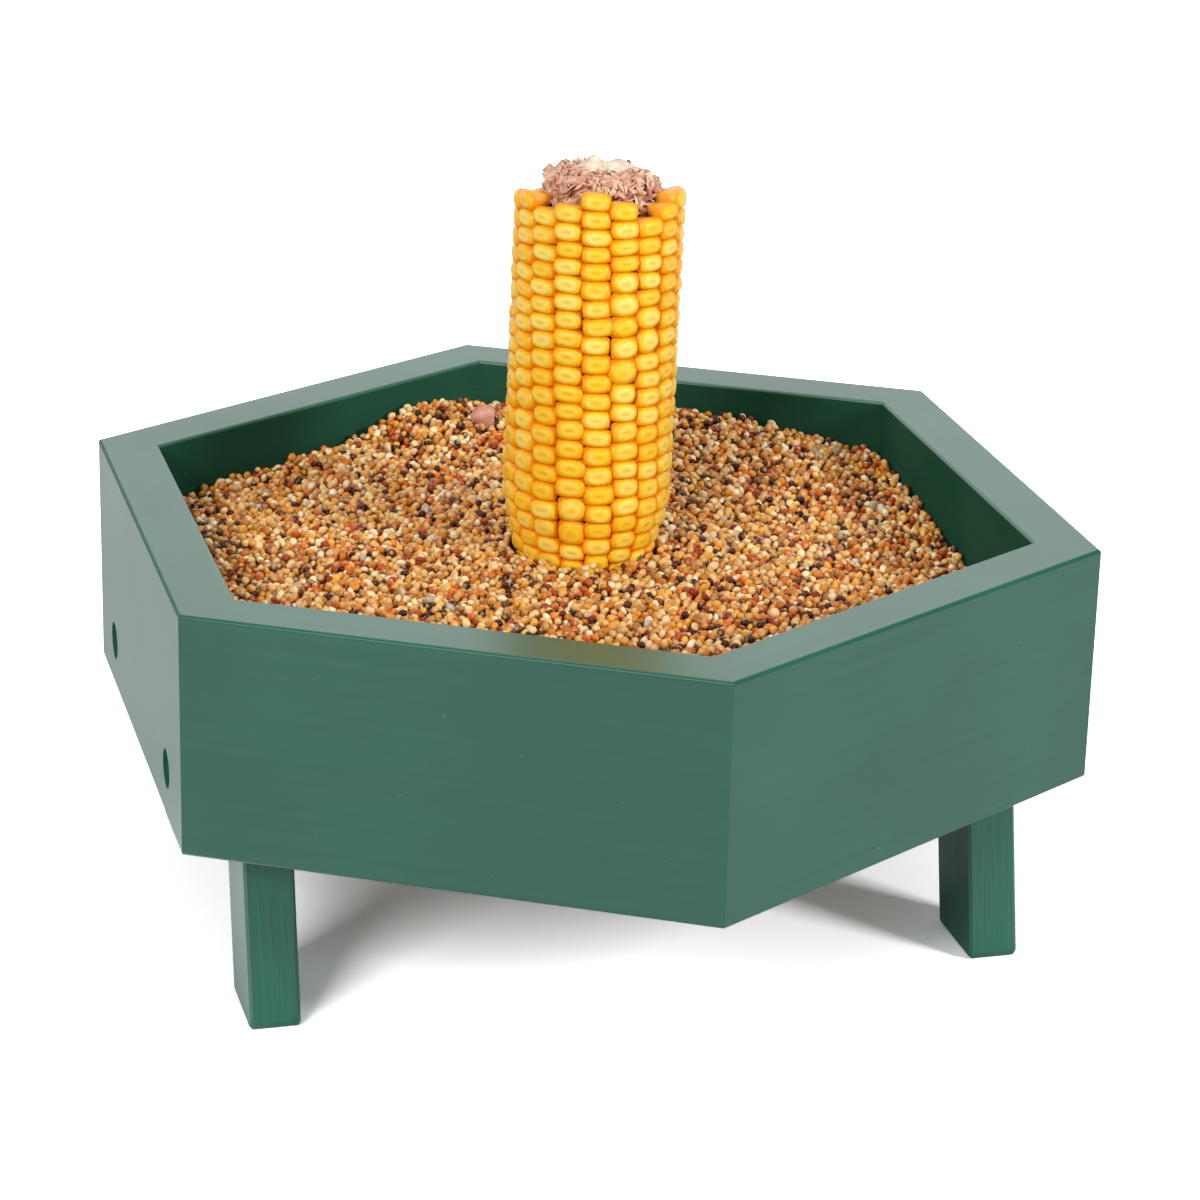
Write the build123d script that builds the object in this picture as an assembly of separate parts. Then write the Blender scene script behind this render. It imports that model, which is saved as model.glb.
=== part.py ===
from build123d import *
from math import cos, exp, radians, sin, tan
import os

os.makedirs("parts", exist_ok=True)

# Sizes are in millimetres and angles in degrees. The origin is on the ground under the tray's middle.
# The left and right walls face -X and +X, and the front and back corners of the hexagon lie on the Y axis.

# Hexagonal tray wall
side_length = 180.0
wall_height = 83.0
wall_thickness = 20.0
wall_edge_round = 1.2
stand_height = 65.0

# Flat splines across the glued mitres
spline_thickness = 4.0
spline_width = 16.0
spline_corner_distance = 13.5
spline_end_distance = 12.0
glue_clearance = 0.05

# Folding legs
leg_width = 32.0
leg_thickness = 17.0
leg_splay = 12.0
leg_edge_chamfer = 1.0
foot_corner_round = 2.5
leg_stop_clearance = 0.3
leg_head_clearance = 2.0
leg_fold_recess = 1.5
leg_side_play = 0.05

# Leg bolts and what is threaded on them
bolt_radius = 3.0
bolt_running_clearance = 0.05
bolt_head_radius = 5.6
bolt_head_height = 3.3
bolt_socket_radius = 2.3
bolt_socket_depth = 1.8
bolt_end_length = 1.5
counterbore_radius = 6.7
counterbore_depth = 9.0
spacer_radius = 8.0
spacer_thickness = 1.4
washer_radius = 7.5
washer_thickness = 1.2
lock_nut_flats = 10.0
lock_nut_height = 6.0
nut_clearance = 0.02
washer_sides = 12

# Cleats that carry the floor, and the bar that carries the corn spike
cleat_width = 12.0
cleat_height = 10.0
bar_width = 40.0
bar_tongue_thickness = 8.0
bar_end_clearance = 0.3
bar_heading = 60.0

# Wire mesh floor and the steel ring on its edge
mesh_thickness = 1.2
mesh_wall_clearance = 0.8
mesh_pitch = 19.0
mesh_wire_width = 2.4
mesh_hub_radius = 11.0
mesh_hub_border = 4.0
ring_width = 9.0
ring_thickness = 1.5

# Corn spike with its nuts and washers
spike_radius = 3.0
spike_height = 76.0
spike_point_length = 14.0
spike_point_radius = 0.4
spike_end_length = 2.0
spike_washer_radius = 9.0
spike_washer_thickness = 1.5
spike_nut_flats = 10.0
spike_nut_height = 5.0

# Layer of seed in small heaps, with a mound and a bank towards the back, a dip and a hollow towards the right
seed_depth = 17.5
seed_wall_clearance = 0.3
seed_mound_height = 8.0
seed_mound_place = (70.0, 105.0)
seed_mound_spread = 35.0
seed_bank_height = 8.2
seed_bank_place = (-30.0, 139.5)
seed_bank_spread = 19.0
seed_dip_depth = 4.0
seed_dip_place = (145.0, 30.0)
seed_dip_spread = 45.0
seed_hollow_depth = 9.5
seed_hollow_place = (140.0, -36.0)
seed_hollow_spread = 34.0
seed_heap_pitch = 17.0
seed_heap_height = 2.3

# Corn cob
kernel_row_count = 18
kernel_count = 23
kernel_pitch = 6.15
kernel_crown_radius = 29.0
kernel_row_gap = 0.4
kernel_groove_depth = 1.6
kernel_bevel = 1.4
butt_draw_in = 7.0
butt_kernel_count = 5
sunk_kernel_count = 2
core_flat_radius = 20.0
core_stub_height = 5.5
pith_radius = 11.0
pith_height = 2.5
cob_lean = 1.4
cob_seat_clearance = 0.5
cob_bore_clearance = 0.08
cob_bore_end_clearance = 3.0
cob_pit_clearance = 1.5

# Places that follow from the sizes above
half_corner_angle = 30.0
corner_radius = side_length
outer_flat = side_length * cos(radians(half_corner_angle))
inner_flat = outer_flat - wall_thickness
wall_top = stand_height + wall_height
pivot_height = stand_height + leg_fold_recess + leg_width / 2
cleat_bottom = pivot_height + leg_width / 2 + leg_head_clearance
cleat_top = cleat_bottom + cleat_height
bar_bottom = cleat_bottom - bar_tongue_thickness
mesh_top = cleat_top + mesh_thickness
mesh_flat = inner_flat - mesh_wall_clearance
ring_top = mesh_top + ring_thickness
leg_outer_face = inner_flat - spacer_thickness - leg_side_play
leg_inner_face = leg_outer_face - leg_thickness

# The splayed leg stops against the lower inner edge of the next wall, so that edge places the pivot
splay_sine = sin(radians(leg_splay))
splay_cosine = cos(radians(leg_splay))
stop_edge = (inner_flat - leg_outer_face * sin(radians(half_corner_angle))) / cos(radians(half_corner_angle))
stop_reach = leg_width / 2 + leg_stop_clearance + (pivot_height - stand_height) * splay_sine
pivot_offset = stop_edge - stop_reach / splay_cosine

wall_headings = {
    "right": 0,
    "back_right": 60,
    "back_left": 120,
    "left": 180,
    "front_left": 240,
    "front_right": 300,
}
bolted_walls = ("left", "right")


def hexagon(flat_radius):
    return RegularPolygon(flat_radius, 6, major_radius=False, rotation=half_corner_angle)


def slab(outline, bottom, top):
    return Pos(0, 0, bottom) * extrude(outline, top - bottom)


# One sixth of the hexagon, centred on +X, cuts the mitres of walls and cleats
def sector(bottom, top):
    reach = corner_radius
    spread = reach * tan(radians(half_corner_angle))
    outline = make_face(Polyline((0, 0), (reach, -spread), (reach, spread), close=True))
    return slab(outline, bottom, top)


def across(radius, length):
    return Rot(0, 90, 0) * Cylinder(radius, length, align=(Align.CENTER, Align.CENTER, Align.MIN))


# Copies of a right-hand piece towards the back, in the order back right, front right, back left, front left
def four_ways(shape):
    return [shape, mirror(shape, about=Plane.XZ), mirror(shape, about=Plane.YZ), Rot(0, 0, 180) * shape]


def group(shapes):
    return Compound([solid for shape in shapes for solid in shape.solids()])


# A spline lies square across its mitre and stops short of both edges of the wall
def mitre_spline(heading, clearance):
    height = wall_height - 2 * spline_end_distance
    strip = Box(spline_thickness + 2 * clearance, spline_width + 2 * clearance, height + 2 * clearance)
    spot = Pos(corner_radius - spline_corner_distance, 0, stand_height + wall_height / 2)
    return Rot(0, 0, heading) * spot * strip


# Washers and the bores of nuts have flats that touch their true circle
def small_round(radius):
    return RegularPolygon(radius, washer_sides, major_radius=False)


def hex_nut(flats, height, bore_radius):
    outline = RegularPolygon(flats / 2, 6, major_radius=False) - small_round(bore_radius)
    return extrude(outline, height)


def ring(outer_radius, bore_radius, thickness):
    return extrude(small_round(outer_radius) - small_round(bore_radius), thickness)


# Wall board with mitred ends, facing +X
def wall(bolted):
    section = Plane.XZ * RectangleRounded(wall_thickness, wall_height, wall_edge_round)
    board = extrude(section, side_length / 2, both=True)
    board = Pos(inner_flat + wall_thickness / 2, 0, stand_height + wall_height / 2) * board
    board = board & sector(stand_height, wall_top)
    for heading in (-half_corner_angle, half_corner_angle):
        board -= mitre_spline(heading, glue_clearance)
    if bolted:
        for side in (-1, 1):
            bolt_line = Pos(0, side * pivot_offset, pivot_height)
            board -= bolt_line * across(bolt_radius + bolt_running_clearance, outer_flat)
            seat = Pos(outer_flat - counterbore_depth, 0, 0)
            board -= bolt_line * seat * across(counterbore_radius, counterbore_depth)
    return board


# Cleat along the inside of a wall, facing +X
def cleat():
    block = Pos(inner_flat - cleat_width / 2, 0, (cleat_bottom + cleat_top) / 2)
    strip = block * Box(cleat_width, side_length, cleat_height)
    return strip & sector(cleat_bottom, cleat_top)


# Spike bar along X, with a tongue at each end that laps under a cleat
def spike_bar():
    tongue_end = inner_flat - bar_end_clearance
    shoulder = inner_flat - cleat_width - bar_end_clearance
    outline = Polyline(
        (-tongue_end, bar_bottom),
        (tongue_end, bar_bottom),
        (tongue_end, cleat_bottom),
        (shoulder, cleat_bottom),
        (shoulder, cleat_top),
        (-shoulder, cleat_top),
        (-shoulder, cleat_bottom),
        (-tongue_end, cleat_bottom),
        close=True,
    )
    bar = extrude(Plane.XZ * make_face(outline), bar_width / 2, both=True)
    return bar - slab(Circle(spike_radius + glue_clearance), bar_bottom, cleat_top)


# Leg on the right wall towards the back, splayed to +Y, with its round end about the bolt
def leg():
    def spot(down, inward):
        y = pivot_offset + down * splay_sine - inward * splay_cosine
        z = pivot_height - down * splay_cosine - inward * splay_sine
        return (y, z)

    def foot(inward):
        return spot((pivot_height - inward * splay_sine) / splay_cosine, inward)

    half = leg_width / 2
    shaft = make_face(Polyline(spot(0, half), foot(half), foot(-half), spot(0, -half), close=True))
    outline = shaft + Pos(pivot_offset, pivot_height) * Circle(half)
    outline = fillet(outline.vertices().sort_by(Axis.Y)[:2], foot_corner_round)
    board = extrude(Plane.YZ.offset(leg_inner_face) * outline, leg_thickness)
    sides = board.faces().sort_by(Axis.X)
    board = chamfer(sides[0].edges() + sides[-1].edges(), leg_edge_chamfer)
    bore = across(bolt_radius + bolt_running_clearance, outer_flat)
    return board - Pos(0, pivot_offset, pivot_height) * bore


# Bolt, spacer, washer and lock nut of the right leg towards the back
def leg_hardware():
    bolt_line = Pos(0, pivot_offset, pivot_height)
    head_seat = outer_flat - counterbore_depth
    washer_face = leg_inner_face - leg_side_play - washer_thickness
    nut_face = washer_face - lock_nut_height
    bolt_end = nut_face - bolt_end_length
    bolt = Pos(bolt_end, 0, 0) * across(bolt_radius, head_seat - bolt_end)
    bolt += Pos(head_seat, 0, 0) * across(bolt_head_radius, bolt_head_height)
    socket = extrude(RegularPolygon(bolt_socket_radius, 6), bolt_socket_depth)
    bolt -= Pos(head_seat + bolt_head_height - bolt_socket_depth, 0, 0) * Rot(0, 90, 0) * socket
    bore_radius = bolt_radius + nut_clearance
    turned = Rot(0, 90, 0)
    spacer = turned * ring(spacer_radius, bore_radius, spacer_thickness)
    washer = turned * ring(washer_radius, bore_radius, washer_thickness)
    nut = turned * hex_nut(lock_nut_flats, lock_nut_height, bore_radius)
    return {
        "leg_bolts": bolt_line * bolt,
        "leg_spacers": bolt_line * Pos(inner_flat - spacer_thickness, 0, 0) * spacer,
        "leg_washers": bolt_line * Pos(washer_face, 0, 0) * washer,
        "leg_lock_nuts": bolt_line * Pos(nut_face, 0, 0) * nut,
    }


# Square mesh cut to the hexagon, with a plain border and a round hole for the spike's nut
def floor_mesh():
    gap = mesh_pitch - mesh_wire_width
    border_flat = mesh_flat - ring_width
    steps = int(corner_radius / mesh_pitch) + 1
    hub_reach = mesh_hub_radius + mesh_hub_border
    holes = [Wire.make_circle(mesh_hub_radius)]
    for row in range(-steps, steps + 1):
        for column in range(-steps, steps + 1):
            x = column * mesh_pitch
            y = row * mesh_pitch
            far_x = abs(x) + gap / 2
            far_y = abs(y) + gap / 2
            slanted = far_x * sin(radians(half_corner_angle)) + far_y * cos(radians(half_corner_angle))
            near_hub = max(abs(x), abs(y)) - gap / 2 < hub_reach
            if max(far_x, slanted) < border_flat and not near_hub:
                holes.append((Pos(x, y) * Rectangle(gap, gap)).wire())
    sheet = Face(hexagon(mesh_flat).wire(), holes)
    return slab(sheet, cleat_top, mesh_top)


def edge_ring():
    return slab(hexagon(mesh_flat) - hexagon(mesh_flat - ring_width), mesh_top, ring_top)


# Threaded rod with a long point, clamped to the bar by a nut on each side
def corn_spike():
    low = bar_bottom - spike_washer_thickness - spike_nut_height - spike_end_length
    shoulder = cleat_top + spike_height - spike_point_length
    rod = slab(Circle(spike_radius), low, shoulder)
    point = Cone(
        spike_radius,
        spike_point_radius,
        spike_point_length,
        align=(Align.CENTER, Align.CENTER, Align.MIN),
    )
    return rod + Pos(0, 0, shoulder) * point


def spike_washers():
    washer = ring(spike_washer_radius, spike_radius + nut_clearance, spike_washer_thickness)
    return group([Pos(0, 0, cleat_top) * washer, Pos(0, 0, bar_bottom - spike_washer_thickness) * washer])


def spike_nuts():
    nut = hex_nut(spike_nut_flats, spike_nut_height, spike_radius + nut_clearance)
    upper = cleat_top + spike_washer_thickness
    lower = bar_bottom - spike_washer_thickness - spike_nut_height
    return group([Pos(0, 0, upper) * nut, Pos(0, 0, lower) * nut])


# Seed fills the tray from the mesh up, and its top rolls from the mound and the bank to the hollow
def seed_height(x, y):
    def swell(place, spread):
        return exp(-((x - place[0]) ** 2 + (y - place[1]) ** 2) / (2 * spread**2))

    mound = seed_mound_height * swell(seed_mound_place, seed_mound_spread)
    bank = seed_bank_height * swell(seed_bank_place, seed_bank_spread)
    dip = seed_dip_depth * swell(seed_dip_place, seed_dip_spread)
    hollow = seed_hollow_depth * swell(seed_hollow_place, seed_hollow_spread)
    return mesh_top + seed_depth + mound + bank - dip - hollow


# The space over the seed, whose underside is a field of low heaps with four facets each
def space_over_seed():
    steps = int(corner_radius / seed_heap_pitch) + 1
    reach = steps * seed_heap_pitch

    def spot(column, row, rise):
        x = column * seed_heap_pitch
        y = row * seed_heap_pitch
        return Vector(x, y, seed_height(x, y) + rise)

    def hollow(column, row):
        return spot(column, row, -seed_heap_height / 2)

    def facet(points):
        return Face(Wire.make_polygon(points))

    ticks = range(-steps, steps)
    faces = [facet([Vector(x * reach, y * reach, wall_top) for x, y in ((-1, -1), (1, -1), (1, 1), (-1, 1))])]
    for column in ticks:
        for row in ticks:
            crest = spot(column + 0.5, row + 0.5, seed_heap_height / 2)
            rim = [hollow(column + x, row + y) for x, y in ((0, 0), (1, 0), (1, 1), (0, 1))]
            for first, second in zip(rim, rim[1:] + rim[:1]):
                faces.append(facet([first, second, crest]))
    for side in (-1, 1):
        along_x = [hollow(tick, side * steps) for tick in range(-steps, steps + 1)]
        along_y = [hollow(side * steps, tick) for tick in range(-steps, steps + 1)]
        for edge in (along_x, along_y):
            upper = [Vector(point.X, point.Y, wall_top) for point in (edge[-1], edge[0])]
            faces.append(facet(edge + upper))
    return Solid(Shell(faces))


# Radius over the kernels, which grows from the cob's butt to its full crown
def crown_radius(index):
    return kernel_crown_radius - butt_draw_in * max(0, 1 - index / butt_kernel_count)


# The pit lets the cob's narrow butt down through the seed
def seed_bed():
    inside_ring = mesh_flat - ring_width - seed_wall_clearance
    heap = slab(hexagon(inside_ring), mesh_top, ring_top)
    heap += slab(hexagon(inner_flat - seed_wall_clearance), ring_top, wall_top)
    pit = slab(Circle(crown_radius(sunk_kernel_count) + cob_pit_clearance), mesh_top, wall_top)
    return heap - pit - space_over_seed()


# The cob stands on the spike's upper nut and leans a little to the right
cob_bottom = cleat_top + spike_washer_thickness + spike_nut_height + cob_seat_clearance
cob_place = Pos(0, 0, cob_bottom) * Rot(0, cob_lean, 0)
row_angle = 360.0 / kernel_row_count


# Each row of kernels is a toothed strip, tapered to fit between its neighbours and bevelled to its grooves
def kernel_row(start, count):
    grooves = [start + index * kernel_pitch for index in range(count + 1)]
    outline = [(core_flat_radius, grooves[0])]
    for index in range(count):
        crown = crown_radius(index)
        outline.append((crown - kernel_groove_depth, grooves[index]))
        outline.append((crown, grooves[index] + kernel_bevel))
        outline.append((crown, grooves[index + 1] - kernel_bevel))
    outline.append((kernel_crown_radius - kernel_groove_depth, grooves[count]))
    outline.append((core_flat_radius, grooves[count]))
    strip = extrude(Plane.XZ * make_face(Polyline(*outline, close=True)), kernel_crown_radius, both=True)

    def half_width(radius):
        return radius * tan(radians(row_angle / 2)) - kernel_row_gap / 2

    bevel_start = kernel_crown_radius - kernel_groove_depth
    crown_half = half_width(kernel_crown_radius) - kernel_groove_depth
    taper = Polyline(
        (core_flat_radius, half_width(core_flat_radius)),
        (core_flat_radius, -half_width(core_flat_radius)),
        (bevel_start, -half_width(bevel_start)),
        (kernel_crown_radius, -crown_half),
        (kernel_crown_radius, crown_half),
        (bevel_start, half_width(bevel_start)),
        close=True,
    )
    return strip & extrude(make_face(taper), grooves[count])


# Full rows alternate with rows that are half a kernel shorter at each end
def corn_kernel_rows():
    full_row = kernel_row(0, kernel_count)
    short_row = kernel_row(kernel_pitch / 2, kernel_count - 1)
    placed = []
    for turn in range(kernel_row_count):
        row = short_row if turn % 2 else full_row
        placed.append(cob_place * Rot(0, 0, turn * row_angle) * row)
    return group(placed)


def corn_core():
    outline = RegularPolygon(core_flat_radius, kernel_row_count, major_radius=False, rotation=row_angle / 2)
    stub_top = kernel_count * kernel_pitch + core_stub_height
    core = slab(outline, 0, stub_top) + slab(Circle(pith_radius), stub_top, stub_top + pith_height)
    bore_end = cleat_top + spike_height + cob_bore_end_clearance
    return cob_place * core - slab(Circle(spike_radius + cob_bore_clearance), 0, bore_end)


nodes = {}
for side, heading in wall_headings.items():
    turned = Rot(0, 0, heading)
    nodes["wall_" + side] = turned * wall(side in bolted_walls)
    nodes["cleat_" + side] = turned * cleat()
nodes["corner_splines"] = group(
    [mitre_spline(heading + half_corner_angle, 0) for heading in wall_headings.values()]
)

back_right_leg, front_right_leg, back_left_leg, front_left_leg = four_ways(leg())
nodes["leg_front_left"] = front_left_leg
nodes["leg_front_right"] = front_right_leg
nodes["leg_back_left"] = back_left_leg
nodes["leg_back_right"] = back_right_leg
for name, piece in leg_hardware().items():
    nodes[name] = group(four_ways(piece))

nodes["spike_bar"] = Rot(0, 0, bar_heading) * spike_bar()
nodes["floor_mesh"] = floor_mesh()
nodes["mesh_ring"] = edge_ring()
nodes["corn_spike"] = corn_spike()
nodes["spike_washers"] = spike_washers()
nodes["spike_nuts"] = spike_nuts()
nodes["seed_bed"] = seed_bed()
nodes["corn_core"] = corn_core()
nodes["corn_kernel_rows"] = corn_kernel_rows()

for name, shape in nodes.items():
    export_step(shape, f"parts/{name}.step")
    print(name, len(shape.solids()), "solids", round(shape.volume, 1), "cubic mm")
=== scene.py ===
import bpy
import math
import numpy as np
from mathutils import Matrix


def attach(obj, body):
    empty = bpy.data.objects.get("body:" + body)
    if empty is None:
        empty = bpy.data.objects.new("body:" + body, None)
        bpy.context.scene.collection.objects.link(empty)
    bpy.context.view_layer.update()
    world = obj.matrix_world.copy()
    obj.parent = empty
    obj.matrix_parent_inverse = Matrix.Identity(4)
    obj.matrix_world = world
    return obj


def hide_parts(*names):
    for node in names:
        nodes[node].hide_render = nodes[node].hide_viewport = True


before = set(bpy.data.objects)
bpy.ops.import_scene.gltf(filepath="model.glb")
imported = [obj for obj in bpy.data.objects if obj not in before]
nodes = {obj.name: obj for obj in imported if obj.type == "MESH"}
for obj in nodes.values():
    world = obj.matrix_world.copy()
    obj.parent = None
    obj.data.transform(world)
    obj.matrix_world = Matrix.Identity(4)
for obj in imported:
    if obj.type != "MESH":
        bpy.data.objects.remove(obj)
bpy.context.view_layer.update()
dice = np.random.default_rng(56)
mm = 0.001  # lengths in the settings below are millimetres
print("frame loaded:", len(nodes), "nodes")

# Sizes of the feeder that several pieces share
tray = dict(
    innerFlat=135.885,  # middle of the tray to the inside of a wall
    cleatTop=110.5,
    cleatWidth=12.0,
    cleatMiddle=105.5,
    barBottom=92.5,
    meshTop=111.7,
    ringTop=113.2,
    headings=(0, 60, 120, 180, 240, 300),
)


# Quads of a grid of rings, each ring closed on itself; with wrap the last ring joins the first
def ringQuads(rows, columns, wrap=False):
    row = np.arange(rows if wrap else rows - 1)[:, None]
    after = (row + 1) % rows
    column = np.arange(columns)[None, :]
    beside = (column + 1) % columns
    low, high = row * columns, after * columns
    corners = [low + column, low + beside, high + beside, high + column]
    return np.stack(corners, -1).reshape(-1, 4)


# Skin over rings of points, drawn shut to one point at each end
def skin(rings, first, last):
    rows, columns = rings.shape[:2]
    points = np.concatenate([rings.reshape(-1, 3), [first, last]])
    column = np.arange(columns)
    beside = (column + 1) % columns
    start = np.stack([np.full(columns, rows * columns), beside, column], -1)
    top = (rows - 1) * columns
    end = np.stack([np.full(columns, rows * columns + 1), top + column, top + beside], -1)
    return points, ringQuads(rows, columns), np.concatenate([start, end])


# Equal steps of angle round a full turn
def fullTurn(columns):
    return np.arange(columns) * 2 * np.pi / columns


# Points round the upright axis: the distance times the angle's cosine and sine, and the height
def roundAxis(angle, reach, height):
    angle, reach, height = np.broadcast_arrays(angle, reach, height)
    return np.stack([reach * np.cos(angle), reach * np.sin(angle), height], -1)


# A profile of radius and height carried round the upright axis
def turned(profile, columns):
    reach, height = np.array(profile, float).T[:, :, None]
    return roundAxis(fullTurn(columns), reach, height)


# Rings in a row that close on themselves, the last joined to the first
def looped(rings):
    return rings.reshape(-1, 3), ringQuads(*rings.shape[:2], wrap=True), np.zeros((0, 3), int)


# Unit ball in rings, from the bottom up
def ball(rings, columns):
    rise = np.pi * np.arange(1, rings + 1) / (rings + 1)
    return skin(turned(np.stack([np.sin(rise), -np.cos(rise)], -1), columns), (0, 0, -1), (0, 0, 1))


# Faces of one shape repeated for its copies, whose points follow each other
def repeated(faces, pointCount, copies):
    return (faces + pointCount * np.arange(copies)[:, None, None]).reshape(-1, faces.shape[-1])


# Copies of one shape: each copy has its own three axes (n, 3, 3) and centre (n, 3)
def spread(shape, axes, centres):
    points, quads, triangles = shape
    moved = np.einsum("pk,nkj->npj", points, axes) + centres[:, None, :]
    count, copies = len(points), len(centres)
    return moved.reshape(-1, 3), repeated(quads, count, copies), repeated(triangles, count, copies)


# Several shapes as one
def together(shapes):
    starts = np.cumsum([0] + [len(shape[0]) for shape in shapes])
    points = np.concatenate([shape[0] for shape in shapes])
    quads = [shape[1] + start for shape, start in zip(shapes, starts)]
    triangles = [shape[2] + start for shape, start in zip(shapes, starts)]
    return points, np.concatenate(quads), np.concatenate(triangles)


# Random turns: rotation matrices from unit quaternions, evenly spread over all turns
def randomTurns(count):
    quaternion = dice.normal(size=(4, count))
    w, x, y, z = quaternion / np.linalg.norm(quaternion, axis=0)
    rows = [
        [1 - 2 * (y * y + z * z), 2 * (x * y - z * w), 2 * (x * z + y * w)],
        [2 * (x * y + z * w), 1 - 2 * (x * x + z * z), 2 * (y * z - x * w)],
        [2 * (x * z - y * w), 2 * (y * z + x * w), 1 - 2 * (x * x + y * y)],
    ]
    return np.moveaxis(np.array(rows), -1, 0)


# A base height plus bell-shaped swellings: height, place across and along, spread
def withBells(base, x, y, bells):
    for height, across, along, reach in bells:
        base = base + height * np.exp(-((x - across) ** 2 + (y - along) ** 2) / (2 * reach**2))
    return base


# A new object in the scene
def newObject(name, data):
    thing = bpy.data.objects.new(name, data)
    bpy.context.scene.collection.objects.link(thing)
    return thing


# Puts a shape (millimetres) into a mesh, with values for its points, and rides it on a body
def addPiece(name, shape, finish, body, replaced=(), values=None, sharp=None):
    points, quads, triangles = shape
    corners = np.concatenate([np.ravel(quads), np.ravel(triangles)]).astype(np.int32)
    counts = np.concatenate([np.full(len(quads), 4), np.full(len(triangles), 3)]).astype(np.int32)
    mesh = bpy.data.meshes.new(name)
    mesh.vertices.add(len(points))
    mesh.vertices.foreach_set("co", (np.ravel(points) * mm).astype(np.float32))
    mesh.loops.add(len(corners))
    mesh.loops.foreach_set("vertex_index", corners)
    mesh.polygons.add(len(counts))
    mesh.polygons.foreach_set("loop_start", (np.cumsum(counts) - counts).astype(np.int32))
    mesh.polygons.foreach_set("use_smooth", np.ones(len(counts), bool))
    mesh.update(calc_edges=True)
    if sharp:
        mesh.set_sharp_from_angle(angle=math.radians(sharp))
    for label, value in (values or {}).items():
        mesh.attributes.new(label, "FLOAT", "POINT").data.foreach_set("value", value.astype(np.float32))
    mesh.materials.append(finish)
    piece = newObject(name, mesh)
    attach(piece, body)
    if replaced:
        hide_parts(*replaced)
    print("piece", name, "with", len(counts), "faces")


# A new finish, with values for its shader's sockets
def startFinish(name, **sockets):
    finish = bpy.data.materials.new(name)
    finish.use_nodes = True
    shader = finish.node_tree.nodes["Principled BSDF"]
    for label, value in sockets.items():
        shader.inputs[label.replace("_", " ")].default_value = value
    return finish, finish.node_tree, shader


# A new node's outputs; each of its inputs is set to a value or linked to another node's output
def newNode(tree, kind, inputs, **settings):
    node = tree.nodes.new("ShaderNode" + kind)
    for label, value in settings.items():
        setattr(node, label, value)
    for label, value in inputs.items():
        if isinstance(value, bpy.types.NodeSocket):
            tree.links.new(value, node.inputs[label])
        else:
            node.inputs[label].default_value = value
    return node.outputs


# Links outputs to the shader's sockets
def feed(tree, shader, **sockets):
    for label, value in sockets.items():
        tree.links.new(value, shader.inputs[label.replace("_", " ")])


# Object coordinates turned back by an angle, then divided by a stretch in metres
def placed(tree, turn=(0, 0, 0), stretch=(1, 1, 1)):
    source = newNode(tree, "TexCoord", {})["Object"]
    inputs = {"Vector": source, "Rotation": [math.radians(angle) for angle in turn], "Scale": stretch}
    return newNode(tree, "Mapping", inputs, vector_type="TEXTURE")["Vector"]


# Cloudy noise between 0 and 1 over a place
def noiseOn(tree, place, scale, detail=3.0, roughness=0.55):
    inputs = {"Vector": place, "Scale": scale, "Detail": detail, "Roughness": roughness}
    return newNode(tree, "TexNoise", inputs)["Fac"]


# A value that the mesh carries at its points
def valueOf(tree, label):
    return newNode(tree, "Attribute", {}, attribute_name=label)["Fac"]


# Colours (linear red, green, blue) along a value
def coloursAlong(tree, value, stops):
    ramp = tree.nodes.new("ShaderNodeValToRGB")
    elements = ramp.color_ramp.elements
    while len(elements) < len(stops):
        elements.new(0.5)
    for element, (position, colour) in zip(elements, stops):
        element.position = position
        element.color = (*colour, 1.0)
    tree.links.new(value, ramp.inputs["Fac"])
    return ramp.outputs["Color"]


# Greys along a value
def greys(tree, value, stops):
    return coloursAlong(tree, value, [(position, (grey, grey, grey)) for position, grey in stops])


# Two colours mixed by a factor; the node's colours are its inputs 6 and 7 and its output 2
def mixOf(tree, factor, first, second, mode="MIX"):
    return newNode(tree, "Mix", {0: factor, 6: first, 7: second}, data_type="RGBA", blend_type=mode)[2]


# Relief that follows a height, its depth in millimetres
def bumpOn(tree, shader, height, strength, depth):
    inputs = {"Height": height, "Strength": strength, "Distance": depth * mm}
    feed(tree, shader, Normal=newNode(tree, "Bump", inputs)["Normal"])


# 0 up to one value and 1 from another, straight between
def stepBetween(tree, value, low, high):
    return newNode(tree, "MapRange", {"Value": value, "From Min": low, "From Max": high})["Result"]


# One coordinate of a place
def partOf(tree, place, axis):
    return newNode(tree, "SeparateXYZ", {"Vector": place})[axis]


# Several values taken together, one after the other
def combined(tree, operation, values):
    total = values[0]
    for value in values[1:]:
        total = newNode(tree, "Math", {0: total, 1: value}, operation=operation)[0]
    return total


# Distance from the middle along one direction, the same on both sides
def distanceAcross(tree, turn=(0, 0, 0)):
    across = partOf(tree, placed(tree, turn), "X")
    return newNode(tree, "Math", {0: across}, operation="ABSOLUTE")[0]


# Satin green paint: brush streaks along the board, slow mottling, a few pale specks
paint = dict(
    deep=(0.0065, 0.082, 0.050),
    plain=(0.0085, 0.095, 0.059),
    light=(0.0120, 0.108, 0.069),
    worn=(0.030, 0.17, 0.115),
    speck=(0.16, 0.27, 0.22),
    finish=dict(Specular_IOR_Level=0.0, Roughness=0.5, Coat_Weight=1.0, Coat_Roughness=0.33, Coat_IOR=1.6),
    mottle=(14.0, 3.0),  # patches and specks: how many to the metre, and detail
    specks=(420.0, 1.0),
    speckFrom=[(0.800, 0.0), (0.825, 0.7)],
    strokes=((0.3, 0.55), (0.7, 1.35)),  # brightness of brush streaks along their noise
    depth=0.25,
    insideEdge=(0.13590, 0.13598),  # metres from the middle, where the inside of a wall ends
    insideShadeTone=(2.3, 0.86, 0.80),  # painted shade: the inside of a wall is coloured darker and browner for the shade that falls there
    rubbedFrom=(0.15490, 0.15520),  # the outer upper edge, by distance and height in metres, is rubbed dull
    rubbedAbove=(0.14680, 0.14700),
    rubbedCoat=0.4,
)
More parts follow.
